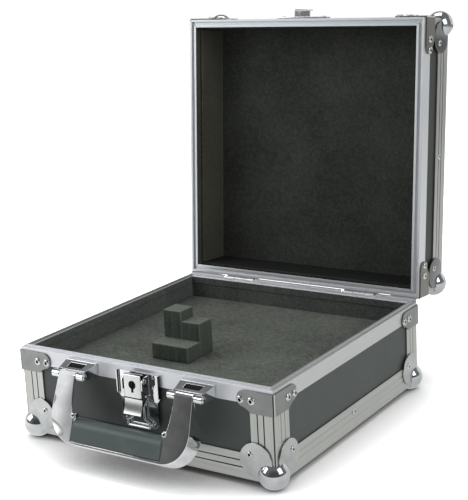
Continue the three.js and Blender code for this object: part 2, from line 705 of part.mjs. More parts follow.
for (const corner of corners) {
  const lidBracket = cornerBracket(lidHeight - bracket.drop);
  base.add(
    meshOf(`base_upright_${corner.name}`, cornerAngle(corner, baseHeight), finishes.aluminium),
    meshOf(`base_ball_${corner.name}`, corner.place(ballCorner(true)), finishes.chrome),
    meshOf(`base_bracket_${corner.name}`, corner.place(cornerBracket(rimTop - bracket.drop)), finishes.steel),
  );
  lid.add(
    meshOf(`lid_upright_${corner.name}`, overLid(cornerAngle(corner, lidHeight)), finishes.aluminium),
    meshOf(`lid_ball_${corner.name}`, overLid(corner.place(ballCorner(false))), finishes.chrome),
    meshOf(`lid_bracket_${corner.name}`, overLid(corner.place(lidBracket)), finishes.steel),
  );
}

for (const [name, centre] of [['left', hinge.inset], ['right', width - hinge.inset]]) {
  base.add(
    meshOf(`hinge_base_leaf_${name}`, hingeLeaf(centre, false), finishes.steel),
    meshOf(`hinge_pin_${name}`, hingePin(centre), finishes.steel),
  );
  lid.add(meshOf(`hinge_lid_leaf_${name}`, hingeLeaf(centre, true), finishes.steel));
}

const leverGroup = new THREE.Group();
leverGroup.add(
  meshOf('latch_lever', latchLever(), finishes.chrome),
  meshOf('latch_bail', latchBail(), finishes.chrome),
  meshOf('lock_cylinder', lockCylinder(), finishes.steel),
);

const handleGroup = new THREE.Group();
handleGroup.add(
  meshOf('handle_frame', handleFrame(), finishes.chrome),
  meshOf('handle_grip', handleGrip(), finishes.grip),
);
handleGroup.rotation.x = THREE.MathUtils.degToRad(-handle.tilt);
handleGroup.position.set(middleX, swingY, swingZ);

// The lid turns about the hinge pins
lid.position.set(0, -pinY, -pinZ);
const lidTurn = new THREE.Group();
lidTurn.add(lid);
lidTurn.rotation.x = THREE.MathUtils.degToRad(-openAngle);
lidTurn.position.set(0, pinY, pinZ);

model.add(base, lidTurn, leverGroup, handleGroup);
model.position.set(-middleX, -depth / 2, ball.radius - ball.inset - ball.sole);

export default model;
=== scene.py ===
# Small flight case with an open lid: aluminium edging, ball corners, foam, a key latch and a handle
import math

import bmesh
import bpy
from mathutils import Matrix, Vector
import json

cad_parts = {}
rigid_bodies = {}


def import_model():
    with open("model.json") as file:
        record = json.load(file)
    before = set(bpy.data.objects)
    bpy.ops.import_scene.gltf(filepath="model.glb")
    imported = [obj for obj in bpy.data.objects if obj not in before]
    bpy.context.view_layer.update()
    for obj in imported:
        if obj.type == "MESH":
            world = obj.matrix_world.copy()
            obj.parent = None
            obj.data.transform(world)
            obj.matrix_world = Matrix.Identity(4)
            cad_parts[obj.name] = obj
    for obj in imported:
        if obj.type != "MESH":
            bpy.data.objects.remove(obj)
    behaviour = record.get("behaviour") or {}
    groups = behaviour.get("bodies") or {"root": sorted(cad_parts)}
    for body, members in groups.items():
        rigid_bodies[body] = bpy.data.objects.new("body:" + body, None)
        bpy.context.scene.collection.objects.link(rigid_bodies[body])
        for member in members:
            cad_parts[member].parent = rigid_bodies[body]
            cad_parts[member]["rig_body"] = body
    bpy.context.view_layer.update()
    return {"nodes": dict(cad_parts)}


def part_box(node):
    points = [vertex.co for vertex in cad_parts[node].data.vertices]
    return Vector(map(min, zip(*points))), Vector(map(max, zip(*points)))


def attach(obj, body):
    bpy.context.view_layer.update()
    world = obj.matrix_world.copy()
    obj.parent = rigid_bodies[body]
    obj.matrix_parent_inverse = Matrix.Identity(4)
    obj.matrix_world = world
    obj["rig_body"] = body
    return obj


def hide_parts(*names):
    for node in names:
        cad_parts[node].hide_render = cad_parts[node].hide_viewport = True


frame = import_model()
nodes = frame["nodes"]
print("frame loaded:", len(nodes), "nodes")

# Sizes in millimetres from the lower front left corner of the case's angles, with the case shut
case = {"width": 350, "depth": 350, "rimTop": 106, "rimWidth": 10.3, "skin": 5, "lidPlane": 106.4,
        "lidTop": 179.9, "pinY": 353.5, "pinZ": 106.2, "openAngle": 95}
mid = case["width"] / 2
millimetre = 0.001  # the frame is in metres
x, y, z = Vector((1, 0, 0)), Vector((0, 1, 0)), Vector((0, 0, 1))


def tilted(degrees):  # a turn about X, as the lid and the handle make
    return Matrix.Rotation(math.radians(degrees), 4, "X")


cornerOfCase = Vector((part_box("base_edge_left")[0][0], *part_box("base_edge_front")[0][1:]))
toRow = Matrix.Translation(cornerOfCase) @ Matrix.Scale(millimetre, 4)
pin = Vector((0, case["pinY"], case["pinZ"]))
unmoved = Matrix.Identity(4)
lidTurn = Matrix.Translation(pin) @ tilted(-case["openAngle"]) @ Matrix.Translation(-pin)
overLid = Matrix.Translation((0, 0, case["lidTop"])) @ Matrix.Scale(-1, 4, z)
mirrorX = Matrix.Translation((case["width"], 0, 0)) @ Matrix.Scale(-1, 4, x)
mirrorY = Matrix.Translation((0, case["depth"], 0)) @ Matrix.Scale(-1, 4, y)
cornerPlaces = {"front_left": unmoved, "front_right": mirrorX, "back_left": mirrorY,
                "back_right": mirrorY @ mirrorX}
halfPlaces = {"base": unmoved, "lid": lidTurn @ overLid}  # what both halves have is made as for the base


# Wraps one socket; the operators add Math nodes to its tree
class Value:
    def __init__(self, tree, socket):
        self.tree = tree
        self.socket = socket

    def math(self, operation, *others, clamp=False):
        node = self.tree.nodes.new("ShaderNodeMath")
        node.operation = operation
        node.use_clamp = clamp
        for i, item in enumerate((self,) + others):
            if isinstance(item, Value):
                self.tree.links.new(item.socket, node.inputs[i])
            else:
                node.inputs[i].default_value = item
        return Value(self.tree, node.outputs[0])

    def __add__(self, other):
        return self.math("ADD", other)

    def __radd__(self, other):
        return self.math("ADD", other)

    def __sub__(self, other):
        return self.math("SUBTRACT", other)

    def __rsub__(self, other):
        return (self * -1) + other

    def __mul__(self, other):
        return self.math("MULTIPLY", other)

    def __rmul__(self, other):
        return self.math("MULTIPLY", other)

    def __truediv__(self, other):
        return self.math("DIVIDE", other)

    def __pow__(self, other):
        return self.math("POWER", other)

    def over(self, low, high):  # 0 under low, 1 over high, a straight rise between
        return ((self - low) / (high - low)).math("ADD", 0, clamp=True)


# A material, or the world, being built
class Finish:
    def __init__(self, name, tree=None):
        if tree is None:
            self.material = bpy.data.materials.new(name)
            self.material.use_nodes = True
            tree = self.material.node_tree
        self.tree = tree
        tree.nodes.clear()

    # Any node: its type, its settings, and what goes into its sockets
    def add(self, kind, settings=None, inputs=None, out=0):
        node = self.tree.nodes.new(kind)
        for key, item in (settings or {}).items():
            setattr(node, key, item)
        for key, item in (inputs or {}).items():
            if isinstance(item, Value):
                self.tree.links.new(item.socket, node.inputs[key])
            else:
                node.inputs[key].default_value = item
        return Value(self.tree, node.outputs[out]) if node.outputs else None

    def place(self, scale=(1, 1, 1), turn=(0, 0, 0)):  # object coordinates, stretched or turned
        coordinates = self.add("ShaderNodeTexCoord", out="Object")
        return self.add("ShaderNodeMapping", inputs={"Vector": coordinates, "Scale": scale, "Rotation": turn})

    def split(self, vector, axis):
        return self.add("ShaderNodeSeparateXYZ", inputs={0: vector}, out=axis)

    def noise(self, where, scale, detail=3, roughness=0.55):
        inputs = {"Vector": where, "Scale": scale, "Detail": detail, "Roughness": roughness}
        return self.add("ShaderNodeTexNoise", inputs=inputs)

    def mix(self, low, high, factor):
        return self.add("ShaderNodeMix", {"data_type": "RGBA"}, {0: factor, 6: low, 7: high}, out=2)

    def bump(self, height, strength, distance):
        inputs = {"Height": height, "Strength": strength, "Distance": distance}
        return self.add("ShaderNodeBump", inputs=inputs)

    def surface(self, **inputs):
        named = {key.replace("_", " "): item for key, item in inputs.items()}
        shader = self.add("ShaderNodeBsdfPrincipled", inputs=named)
        self.add("ShaderNodeOutputMaterial", inputs={"Surface": shader})
        return self.material


def tone(red, green, blue):  # a colour as a screen shows it, 0 to 255, made linear
    def linear(level):
        level = level / 255
        return level / 12.92 if level <= 0.04045 else ((level + 0.055) / 1.055) ** 2.4
    return (linear(red), linear(green), linear(blue), 1)


def wornAndClean(tint, worn):  # a metal's dulled tone, a share of its tint, and its clean one
    return tone(*[level * worn for level in tint]), tone(*tint)


# In each look a noise is its scale, detail and roughness. Its Range is where it starts and ends, its Mix how
# far it moves the colour, its Rough how far the roughness. A bump is its strength and its depth in metres
def makeLaminate(name, color, pale):
    look = {"pebble": (900, 2), "patch": (9, 4), "wear": (60, 5), "patchRange": (0.35, 0.75),
            "wearRange": (0.56, 0.74), "patchMix": 0.5, "wearMix": 0.18, "rough": 0.42, "pebbleRough": 0.12,
            "wearRough": 0.05, "bump": (0.25, 0.0002), "specular": 0.45}
    f = Finish(name)
    where = f.place()
    pebble = f.noise(where, *look["pebble"])
    patch = f.noise(where, *look["patch"]).over(*look["patchRange"])
    wear = f.noise(where, *look["wear"]).over(*look["wearRange"])
    base = f.mix(color, pale, patch * look["patchMix"] + wear * look["wearMix"])
    rough = look["rough"] + pebble * look["pebbleRough"] - wear * look["wearRough"]
    return f.surface(Base_Color=base, Roughness=rough, Normal=f.bump(pebble, *look["bump"]),
                     Specular_IOR_Level=look["specular"])


# Drawn aluminium, streaked along one axis; lean turns the streaks by degrees, as on the open lid
def makeAluminium(name, along, lean=0, tint=(190, 192, 188), rough=0.3, worn=0.88, grain=0.12, metal=1):
    look = {"streak": (700, 3), "fine": (2600, 2), "smear": (22, 5), "rub": (140, 4), "stretch": 0.012,
            "streakRange": (0.35, 0.65), "rubRange": (0.6, 0.75), "streakMix": 0.5, "smearMix": 0.5,
            "streakRough": 0.08, "smearRough": 0.1, "rubRough": 0.06, "streakHeight": 0.4, "fineHeight": 0.6,
            "depth": 0.00005}
    f = Finish(name)
    scale = tuple(look["stretch"] if axis == along else 1 for axis in "XYZ")
    where = f.place(scale, (math.radians(lean), 0, 0))
    streak = f.noise(where, *look["streak"])
    fine = f.noise(where, *look["fine"])
    smear = f.noise(f.place(), *look["smear"])
    rub = f.noise(f.place(), *look["rub"]).over(*look["rubRange"])
    shade = streak.over(*look["streakRange"]) * look["streakMix"] + smear * look["smearMix"]
    rough = rough + streak * look["streakRough"] + smear * look["smearRough"] + rub * look["rubRough"]
    height = streak * look["streakHeight"] + fine * look["fineHeight"]
    return f.surface(Base_Color=f.mix(*wornAndClean(tint, worn), shade), Metallic=metal, Roughness=rough,
                     Normal=f.bump(height, grain, look["depth"]))


def makeSteel(name, tint, rough, brushed=0.1):
    look = {"grain": (1500, 3), "smear": (45, 4), "stretch": (1, 1, 0.06), "smearRange": (0.3, 0.7),
            "smearMix": 0.7, "grainMix": 0.3, "smearRough": 0.08, "worn": 0.84, "depth": 0.00006}
    f = Finish(name)
    grain = f.noise(f.place(look["stretch"]), *look["grain"])
    smear = f.noise(f.place(), *look["smear"])
    shade = smear.over(*look["smearRange"]) * look["smearMix"] + grain * look["grainMix"]
    return f.surface(Base_Color=f.mix(*wornAndClean(tint, look["worn"]), shade), Metallic=1,
                     Roughness=rough + grain * brushed + smear * look["smearRough"],
                     Normal=f.bump(grain, brushed, look["depth"]))


# ripple is the depth of its waves in metres, waves their scale, and crown how much it bows across the case
def makeChrome(name="chrome", tint=(220, 223, 225), rough=0.05, ripple=0.00006, waves=28, crown=0):
    look = {"smear": (60, 4), "smearRange": (0.35, 0.65), "hazeRange": (0.5, 0.8), "hazeRough": 0.1,
            "worn": 0.92, "waveDetail": 1, "bump": (1, 1)}
    f = Finish(name)
    smear = f.noise(f.place(), *look["smear"])
    wave = f.noise(f.place(), waves, look["waveDetail"]) * ripple
    if crown:
        aside = f.split(f.place(), "X")
        wave = wave - aside * aside * crown
    base = f.mix(*wornAndClean(tint, look["worn"]), smear.over(*look["smearRange"]))
    return f.surface(Base_Color=base, Metallic=1, Normal=f.bump(wave, *look["bump"]),
                     Roughness=rough + smear.over(*look["hazeRange"]) * look["hazeRough"])


# cell is the scale of its open cells, of which grain and coarse take a share, and fleck is the grain's Mix
def makeFoam(name, dark, pale, cell, fleck):
    look = {"grainShare": 0.5, "grain": (3, 0.75), "coarseShare": 0.22, "coarse": (2, 0.55),
            "patch": (11, 5, 0.6), "scuff": (24, 5, 0.65), "scuffStretch": (1, 1, 0.18), "speck": (260, 1),
            "grainRange": (0.36, 0.68), "coarseRange": (0.4, 0.66), "patchRange": (0.35, 0.65),
            "scuffRange": (0.58, 0.78), "speckRange": (0.74, 0.78), "coarseMix": 0.16, "patchMix": 0.28,
            "scuffMix": 0.14, "speckMix": 0.3, "cellHeight": 0.7, "grainHeight": 0.5, "bump": (0.6, 0.0008),
            "rough": 0.95, "specular": 0.1, "sheen": 0.02}
    f = Finish(name)
    where = f.place()
    cells = f.add("ShaderNodeTexVoronoi", {"feature": "F1"}, {"Vector": where, "Scale": cell}, "Distance")
    grain = f.noise(where, cell * look["grainShare"], *look["grain"])
    coarse = f.noise(where, cell * look["coarseShare"], *look["coarse"]).over(*look["coarseRange"])
    patch = f.noise(where, *look["patch"]).over(*look["patchRange"])
    scuff = f.noise(f.place(look["scuffStretch"]), *look["scuff"]).over(*look["scuffRange"])
    speck = f.noise(where, *look["speck"]).over(*look["speckRange"])
    shade = grain.over(*look["grainRange"]) * fleck + coarse * look["coarseMix"] + patch * look["patchMix"]
    shade = shade + scuff * look["scuffMix"] + speck * look["speckMix"]
    height = cells * look["cellHeight"] + grain * look["grainHeight"]
    return f.surface(Base_Color=f.mix(dark, pale, shade), Roughness=look["rough"],
                     Normal=f.bump(height, *look["bump"]), Specular_IOR_Level=look["specular"],
                     Sheen_Weight=look["sheen"])


# Knife-cut sides with upright streaks; painted light makes the sides paler to the left and right and the
# grained tops paler still, and a painted highlight lies on the upright edges. top is the tops' lit colour
def makeCutFoam(name, dark, pale, top):
    look = {"grain": (450, 3, 0.75), "streak": (260, 3), "stretch": (1, 1, 0.1), "edgeHighlightRange": (0.12, 0.4),
            "litFlankRange": (0.6, 0.9), "streakRange": (0.35, 0.7), "grainRange": (0.4, 0.7),
            "topRange": (0.3, 0.6), "litTopRange": (0.2, 0.7), "streakMix": 0.4, "grainMix": 0.4, "litFlankMix": 0.6,
            "edgeHighlightMix": 0.8, "grainHeight": 0.6, "streakHeight": 0.4, "bump": (0.5, 0.0007), "rough": 0.95,
            "specular": 0.15}
    f = Finish(name)
    grain = f.noise(f.place(), *look["grain"])
    streak = f.noise(f.place(look["stretch"]), *look["streak"])
    normal = f.add("ShaderNodeNewGeometry", out="Normal")
    east, north, up = (f.split(normal, axis) for axis in "XYZ")
    # Painted highlight on the upright edges, painted light on the faces to the left and right and on the tops
    edges = (east * north).math("ABSOLUTE").over(*look["edgeHighlightRange"])
    litFlank = east.math("ABSOLUTE").over(*look["litFlankRange"])
    shade = streak.over(*look["streakRange"]) * look["streakMix"]
    shade = shade + grain.over(*look["grainRange"]) * look["grainMix"] + litFlank * look["litFlankMix"]
    sides = f.mix(dark, pale, shade)
    litTops = f.mix(pale, top, grain.over(*look["topRange"]))
    litTopMask = up.over(*look["litTopRange"]).math("MAXIMUM", edges * look["edgeHighlightMix"])
    height = grain * look["grainHeight"] + streak * look["streakHeight"]
    return f.surface(Base_Color=f.mix(sides, litTops, litTopMask), Roughness=look["rough"],
                     Normal=f.bump(height, *look["bump"]), Specular_IOR_Level=look["specular"])


def makeGrip(name, color, pale):
    look = {"grain": (700, 3), "rub": (40, 5), "rubRange": (0.52, 0.78), "rubMix": 0.6, "grainMix": 0.2,
            "rough": 0.4, "rubRough": 0.12, "grainRough": 0.08, "bump": (0.12, 0.0002), "specular": 0.5}
    f = Finish(name)
    where = f.place()
    grain = f.noise(where, *look["grain"])
    rub = f.noise(where, *look["rub"]).over(*look["rubRange"])
    base = f.mix(color, pale, rub * look["rubMix"] + grain * look["grainMix"])
    rough = look["rough"] + rub * look["rubRough"] + grain * look["grainRough"]
    return f.surface(Base_Color=base, Roughness=rough, Normal=f.bump(grain, *look["bump"]),
                     Specular_IOR_Level=look["specular"])


# A near-black finish: the painted shade in rivet holes, the lever's seam and the mounts' pockets
def makePaintedShade(name, color, pale):
    look = {"speck": (300, 3), "rough": 0.6, "speckRough": 0.1, "bump": (0.1, 0.0002), "specular": 0.12}
    f = Finish(name)
    speck = f.noise(f.place(), *look["speck"])
    rough = look["rough"] + speck * look["speckRough"]
    return f.surface(Base_Color=f.mix(color, pale, speck), Roughness=rough,
                     Normal=f.bump(speck, *look["bump"]), Specular_IOR_Level=look["specular"])


laminate = makeLaminate("darkLaminate", tone(52, 59, 57), tone(66, 72, 68))
# The lid's box gets a darker copy of the case's laminate: painted shade
shadedLidLaminate = makeLaminate("shadedLidLaminate", tone(38, 42, 38), tone(50, 54, 49))
aluminiumX = makeAluminium("aluminiumAlongX", "X")
aluminiumY = makeAluminium("aluminiumAlongY", "Y")
aluminiumZ = makeAluminium("aluminiumAlongZ", "Z")
rimX = makeAluminium("rimAlongX", "X", tint=(210, 212, 216), rough=0.32, worn=0.95, grain=0.06, metal=0.76)
# The base's left and right rims get a darker copy of the rim aluminium: painted shade
shadedRimY = makeAluminium("shadedRimAlongY", "Y", tint=(196, 198, 198), rough=0.32, worn=0.94, grain=0.06, metal=0.78)
# The lid's front rim gets a darker copy of the rim aluminium: painted shade
shadedLidRimX = makeAluminium("shadedLidRimAlongX", "X", tint=(196, 202, 206), rough=0.32, worn=0.96, grain=0.04,
                        metal=0.75)
lidRimZ = makeAluminium("lidRimAlongZ", "Z", lean=case["openAngle"] - 90, tint=(212, 215, 218), rough=0.32,
                        worn=0.97, grain=0.04, metal=0.74)
bracketSteel = makeSteel("bracketSteel", (143, 145, 144), 0.24)
# The lid's brackets get a darker copy of the bracket steel: painted shade
shadedLidBracketSteel = makeSteel("shadedLidBracketSteel", (128, 127, 122), 0.22)
# Painted shade, a paler painted shade and a painted highlight, for groove walls and the halves of folds
paintedShadeSteel = makeSteel("paintedShadeSteel", (66, 66, 62), 0.3)
paintedHalfShadeSteel = makeSteel("paintedHalfShadeSteel", (140, 142, 138), 0.3)
paintedHighlightSteel = makeSteel("paintedHighlightSteel", (206, 206, 200), 0.2)
stripSteel = makeSteel("stripSteel", (188, 190, 192), 0.36, brushed=0.3)
hingeSteel = makeSteel("hingeSteel", (196, 198, 196), 0.26)
rivetSteel = makeSteel("rivetSteel", (214, 216, 214), 0.14)
petalSteel = makeSteel("petalSteel", (190, 193, 192), 0.16, brushed=0.03)
# The lid's petals get a darker copy of the petal steel: painted shade
shadedLidPetalSteel = makeSteel("shadedLidPetalSteel", (126, 128, 128), 0.14, brushed=0.03)
# A dark copy of the lever steel for the latch's side faces: a painted dark reflection
shadedLeverSide = makeSteel("shadedLeverSide", (66, 67, 69), 0.16, brushed=0.03)
leverSteel = makeSteel("leverSteel", (212, 214, 213), 0.14, brushed=0.04)
plugSteel = makeSteel("plugSteel", (44, 44, 45), 0.4)
chrome = makeChrome()
ballChrome = makeChrome("ballChrome", (194, 197, 199), rough=0.03, ripple=0.00002)
handleChrome = makeChrome("handleChrome", (230, 231, 233), rough=0.03, ripple=0.0032, waves=17, crown=1.8)
# Painted shade for holes, seams and pockets
dark = makePaintedShade("paintedShadeInRecess", tone(12, 13, 13), tone(24, 25, 25))
grip = makeGrip("mouldedGrip", tone(58, 69, 69), tone(78, 90, 90))
bedFoam = makeFoam("bedFoam", tone(58, 62, 59), tone(106, 110, 103), cell=620, fleck=0.62)
# Lit and shaded copies of the wall foam, for the tray's sides and for its front and back: painted light and
# shade
litWallFoam = makeFoam("litWallFoam", tone(68, 73, 71), tone(108, 112, 108), cell=700, fleck=0.5)
shadedEndFoam = makeFoam("shadedEndFoam", tone(50, 54, 52), tone(86, 90, 86), cell=700, fleck=0.5)
cubeFoam = makeCutFoam("cubeFoam", tone(48, 54, 49), tone(78, 83, 77), tone(103, 107, 99))
liningFoam = makeFoam("liningFoam", tone(33, 36, 34), tone(68, 70, 66), cell=800, fleck=0.42)
# Copies of the lining foam for its walls: near black at the front and back, a painted shade, and paler at the
# sides, a painted light
shadedLiningWall = makeFoam("shadedLiningWall", tone(16, 18, 17), tone(28, 30, 29), cell=1100, fleck=0.35)
litLiningSide = makeFoam("litLiningSide", tone(60, 60, 54), tone(92, 91, 82), cell=900, fleck=0.4)
print("finishes made:", len(bpy.data.materials))


def link(name, data):
    thing = bpy.data.objects.new(name, data)
    bpy.context.scene.collection.objects.link(thing)
    return thing


def meshOf(bm, name):
    mesh = bpy.data.meshes.new(name)
    bm.to_mesh(mesh)
    bm.free()
    return mesh


def newPiece(bm, name, finishes, smooth):  # edges up to smooth degrees are shaded as one surface
    mesh = meshOf(bm, name)
    for finish in finishes:
        mesh.materials.append(finish)
    mesh.shade_smooth()
    mesh.set_sharp_from_angle(angle=math.radians(smooth))
    return link(name, mesh)


# A piece that was made in millimetres, brought to its place
def bring(bm, name, finishes, body, place=unmoved, smooth=35, replaced=()):
    bmesh.ops.transform(bm, matrix=toRow @ place, verts=bm.verts)
    bmesh.ops.recalc_face_normals(bm, faces=bm.faces)
    piece = newPiece(bm, name, finishes, smooth)
    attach(piece, body)
    if replaced:
        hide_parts(*replaced)
    return piece


# How a CAD node's mesh is joined again, and what counts as a fold in it: millimetres and degrees
soften = {"weld": 0.002, "flat": 1, "foldBreadth": 3.5, "foldAngle": 70, "foldSegments": 4, "halfAngle": 45,
          "normalWeight": 100}


# Long outer folds between two broad faces get a rounder edge
def roundFolds(bm, radius, shortest, halves):
    def breadth(face, edge):
        return face.calc_area() / edge.calc_length()

    def isFold(edge):
        if len(edge.link_faces) != 2 or not edge.is_convex or edge.calc_length() <= shortest:
            return False
        bent = edge.calc_face_angle() > math.radians(soften["foldAngle"])
        narrowest = min(breadth(face, edge) for face in edge.link_faces)
        return bent and narrowest > soften["foldBreadth"] * millimetre

    folds = [edge for edge in bm.edges if isFold(edge)]
    made = bmesh.ops.bevel(bm, geom=folds, offset=radius, affect="EDGES", segments=soften["foldSegments"],
                           profile=0.5, material=-1)
    # Each half of a fold gets a finish that paints the shade or highlight of a reflection on it
    if halves:
        bm.normal_update()
        for face in made["faces"]:
            toSide = abs(face.normal.x) > math.sin(math.radians(soften["halfAngle"]))
            face.material_index = halves[int(toSide)]


# A CAD node with its edges broken: a merged copy of its mesh under a Bevel. edge is the width of the broken
# edges, and fold the radius of the outer folds that are longer than run, in millimetres. pick gives a face
# its finish. halves gives one to the half of a fold that leans to the front or back, and one to the half
# that leans to the side, to paint on it the shade or highlight of a reflection. taller stretches the piece
# upwards from its foot
def softened(node, finishes, edge, segments=2, angle=38, fold=0, run=20, pick=None, halves=None, taller=1):
    bm = bmesh.new()
    bm.from_mesh(nodes[node].data)
    bmesh.ops.remove_doubles(bm, verts=bm.verts, dist=soften["weld"] * millimetre)
    bmesh.ops.dissolve_limit(bm, angle_limit=math.radians(soften["flat"]), verts=bm.verts, edges=bm.edges,
                             delimit={"NORMAL"})
    bm.normal_update()
    if pick:
        for face in bm.faces:
            face.material_index = pick(face)
    foot = Matrix.Translation((0, 0, -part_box(node)[0][2]))
    bmesh.ops.scale(bm, vec=(1, 1, taller), space=foot, verts=bm.verts)
    if fold:
        roundFolds(bm, fold * millimetre, run * millimetre, halves)
    piece = newPiece(bm, node + "_soft", finishes, angle)
    bevel = piece.modifiers.new("brokenEdges", "BEVEL")
    bevel.width = edge * millimetre
    bevel.segments = segments
    bevel.limit_method = "ANGLE"
    bevel.angle_limit = math.radians(angle)
    bevel.use_clamp_overlap = False
    even = piece.modifiers.new("evenNormals", "WEIGHTED_NORMAL")
    even.weight = soften["normalWeight"]
    even.keep_sharp = False
    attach(piece, nodes[node]["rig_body"])
    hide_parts(node)
    return piece


# From which share of its length a normal looks a way, and in millimetres how near to a place a face lies
facing = {"across": 0.7, "aside": 0.8, "square": 0.9, "level": 0.5, "lipGap": 0.5, "legGap": 1}


def shutFace(face, turn):  # the middle of a face, in millimetres, and its normal, both as in the shut case
    back = (toRow @ turn).inverted()
    return back @ face.calc_center_median(), (back.to_3x3() @ face.normal).normalized()


# The lined inner lip of a rim: 1 on its faces that look across the case, at the inner end of its width
def innerLip(side, turn):
    rim = case["rimWidth"]
    axis, place, sign = {"front": (1, rim, 1), "back": (1, case["depth"] - rim, -1),
                         "left": (0, rim, 1), "right": (0, case["width"] - rim, -1)}[side]

    def pick(face):
        middle, normal = shutFace(face, turn)
        across = normal[axis] * sign > facing["across"]
        return int(across and abs(middle[axis] - place) < facing["lipGap"])
    return pick


# The picked groove walls get a painted shade
# The slanting walls of an angle's grooves: 1 on its front or back leg, and side on its other legs
def grooveWalls(turn, side=0):
    def pick(face):
        middle, normal = shutFace(face, turn)
        if max(abs(share) for share in normal) >= facing["square"]:
            return 0
        gap = min(abs(middle.y), abs(middle.y - case["depth"]))
        return 1 if gap < facing["legGap"] else side
    return pick


# Painted light and shade: the tray's side walls get a lit copy of the foam, its front and back a shaded one
# The inner walls of the base's tray: 1 at its sides, 2 at its front and back
def trayWalls(face):
    middle, normal = shutFace(face, unmoved)
    skin = case["skin"]
    inside = skin < middle.x < case["width"] - skin and skin < middle.y < case["depth"] - skin
    if not inside or abs(normal.z) > facing["level"]:
        return 0
    return 1 + int(abs(normal.y) > facing["across"])


# The latch's faces that look to the left or right get a painted dark reflection
def sideFaces(face):  # 1 on the faces that look to the left or right
    return int(abs(face.normal.x) > facing["aside"])


# Panels, rims and angles keep their shape and get broken edges. A rim's second finish is its inner lip's
rimEdges = {"edge": 0.25, "fold": 0.8, "run": 100}
angleEdges = {"edge": 0.2, "fold": 1.2, "run": 100}
# An upright's folds have painted shade on their front half; a bracket's, painted shade and painted highlight
uprightEdges = {"edge": 0.2, "fold": 2, "run": 50, "halves": (1, 0)}
bracketEdges = {"edge": 0.45, "segments": 3, "fold": 2, "run": 20, "halves": (1, 2)}
# Inner lips get a lit or a shaded copy of the foam by the side they are on: painted light and shade
baseRims = {"front": (rimX, shadedEndFoam), "back": (rimX, shadedEndFoam), "left": (shadedRimY, litWallFoam),
            "right": (shadedRimY, litWallFoam)}
lidRims = {"front": (shadedLidRimX, shadedLiningWall), "back": (rimX, shadedLiningWall), "left": (lidRimZ, litLiningSide),
           "right": (lidRimZ, litLiningSide)}
baseAngles = {"front": aluminiumX, "back": aluminiumX, "left": aluminiumY, "right": aluminiumY}
lidAngles = {"front": aluminiumX, "back": aluminiumX, "left": aluminiumZ, "right": aluminiumZ}
for side in baseRims:
    softened(f"base_rim_{side}", baseRims[side], pick=innerLip(side, unmoved), **rimEdges)
    softened(f"lid_rim_{side}", lidRims[side], pick=innerLip(side, lidTurn), **rimEdges)
    softened(f"base_edge_{side}", [baseAngles[side], paintedShadeSteel], pick=grooveWalls(unmoved), **angleEdges)
    softened(f"lid_edge_{side}", [lidAngles[side], paintedShadeSteel], pick=grooveWalls(lidTurn, 1), **angleEdges)
for corner in cornerPlaces:
    softened(f"base_upright_{corner}", [aluminiumZ, paintedShadeSteel, paintedHalfShadeSteel], pick=grooveWalls(unmoved, 2),
             **uprightEdges)
    softened(f"lid_upright_{corner}", [aluminiumY, paintedShadeSteel], pick=grooveWalls(lidTurn), **uprightEdges)
    softened(f"base_bracket_{corner}", [bracketSteel, paintedShadeSteel, paintedHighlightSteel], **bracketEdges)
    softened(f"lid_bracket_{corner}", [shadedLidBracketSteel, paintedShadeSteel, paintedHighlightSteel], **bracketEdges)
for side in ("left", "right"):
    softened(f"hinge_base_leaf_{side}", [hingeSteel], edge=0.2)
    softened(f"hinge_lid_leaf_{side}", [hingeSteel], edge=0.2)
    softened(f"hinge_pin_{side}", [rivetSteel], edge=0.2)
    softened(f"handle_mount_{side}", [chrome], edge=0.4, segments=3, fold=0.9, run=15)
softened("base_box", [laminate, litWallFoam, shadedEndFoam], edge=0.4, pick=trayWalls)
softened("lid_box", [shadedLidLaminate], edge=0.4)
softened("latch_plate", [chrome, shadedLeverSide], edge=0.3, pick=sideFaces)
softened("latch_lever", [leverSteel, shadedLeverSide], edge=0.3, segments=3, fold=1.6, run=15, pick=sideFaces)
softened("latch_bail", [chrome], edge=0.1, segments=1, angle=60)
softened("lock_cylinder", [plugSteel], edge=0.25)
softened("latch_keeper", [chrome], edge=0.35)
softened("handle_frame", [handleChrome], edge=0.6, segments=3)
softened("handle_grip", [grip], edge=1.2, segments=4, taller=1.05)
print("rigid pieces made")


def everything(bm):
    return bm.verts[:] + bm.edges[:] + bm.faces[:]


def addedSince(before, bm):
    return [vert for vert in bm.verts if vert not in before]


# A ball corner is a hollow shell, and three round petals lie from it along the faces of the case
ball = {"radius": 17, "inset": 8.5, "wall": 1.2, "sole": 0.4, "around": 72, "rings": 36}
petal = {"radius": 20, "inset": 24.6, "thick": 1.6, "gap": 0.3, "edge": 0.5, "sides": 64, "steps": 3}
petalFinish = {"base": petalSteel, "lid": shadedLidPetalSteel}


def cutBall(stands):
    bm = bmesh.new()
    bmesh.ops.create_uvsphere(bm, u_segments=ball["around"], v_segments=ball["rings"], radius=ball["radius"])
    bmesh.ops.translate(bm, vec=(ball["inset"],) * 3, verts=bm.verts)
    if stands:  # the flat it stands on
        foot = ball["inset"] - ball["radius"] + ball["sole"]
        cut = bmesh.ops.bisect_plane(bm, geom=everything(bm), plane_co=(0, 0, foot), plane_no=(0, 0, -1),
                                     clear_outer=True)
        rim = [item for item in cut["geom_cut"] if isinstance(item, bmesh.types.BMEdge)]
        bmesh.ops.contextual_create(bm, geom=rim)
    for normal in (x, y, z):  # opened where the case fills it
        bmesh.ops.bisect_plane(bm, geom=everything(bm), plane_co=(0, 0, 0), plane_no=normal)
    hidden = [face for face in bm.faces if min(face.calc_center_median()) > 0]
    bmesh.ops.delete(bm, geom=hidden, context="FACES")
    bmesh.ops.recalc_face_normals(bm, faces=bm.faces)
    bmesh.ops.solidify(bm, geom=bm.faces[:], thickness=ball["wall"])
    return bm


